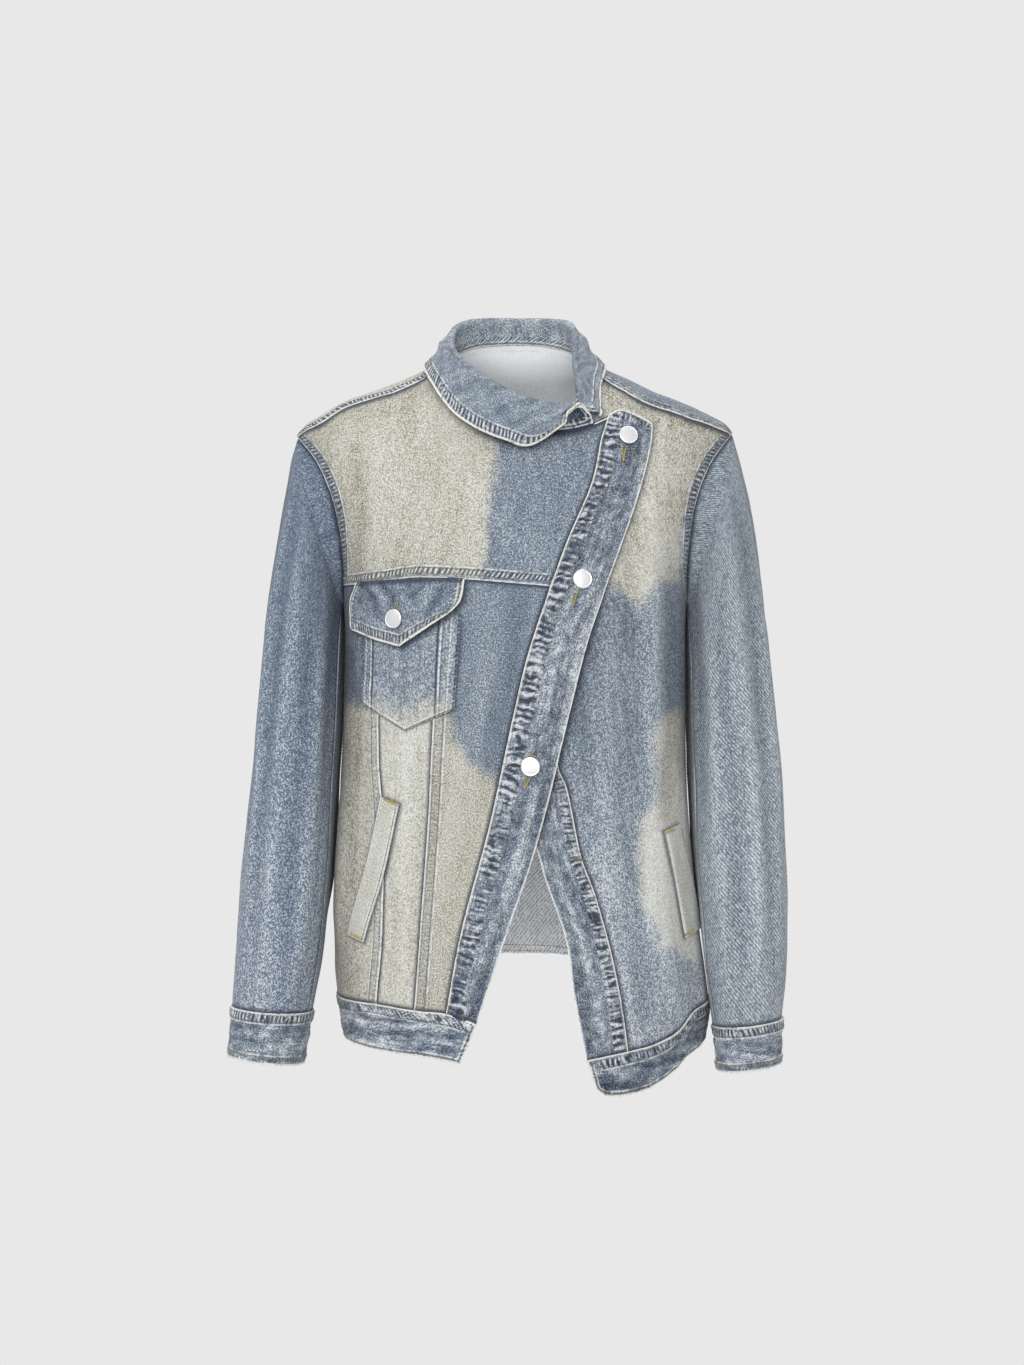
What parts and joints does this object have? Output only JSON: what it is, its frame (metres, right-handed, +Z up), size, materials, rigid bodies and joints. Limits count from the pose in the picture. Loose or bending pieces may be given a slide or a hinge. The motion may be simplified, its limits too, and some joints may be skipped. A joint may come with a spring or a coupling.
{
  "type": "denim jacket",
  "caption": "Washed denim jacket with an asymmetric overlapping front, turned-down collar, chest pocket and four steel buttons, held open as worn.",
  "frame": {"origin": "middle of the neck base, between the shoulder seams' inner ends, where the wearer's neck and shoulders hold the jacket up", "axes": "+Z up along the body, the front faces -Y, the wearer's left arm is at +X"},
  "size_m": [0.5242, 0.242, 0.7278],
  "materials": {
    "denim_blue": "washed blue denim twill, matte",
    "denim_pale": "denim bleached to beige, matte",
    "steel": "polished"
  },
  "bodies": {
    "root": {"back_centre": "denim_blue", "back_side_left": "denim_blue", "back_side_right": "denim_blue", "back_yoke": "denim_blue", "button_chest": "steel", "button_flap": "steel", "button_neck": "steel", "button_waist": "steel", "chest_flap": "denim_blue", "chest_pocket": "denim_blue", "collar": "denim_blue", "cuff_left": "denim_blue", "cuff_right": "denim_blue", "left_front": "denim_blue", "left_placket": "denim_blue", "right_front_centre": "denim_blue", "right_front_middle": "denim_pale", "right_front_side": "denim_blue", "right_front_yoke": "denim_pale", "right_placket": "denim_blue", "sleeve_left_top": "denim_blue", "sleeve_left_under": "denim_blue", "sleeve_right_top": "denim_blue", "sleeve_right_under": "denim_blue", "waistband_back": "denim_blue", "waistband_left": "denim_blue", "waistband_right": "denim_blue", "welt_left": "denim_pale", "welt_right": "denim_pale"}
  },
  "joints": []
}
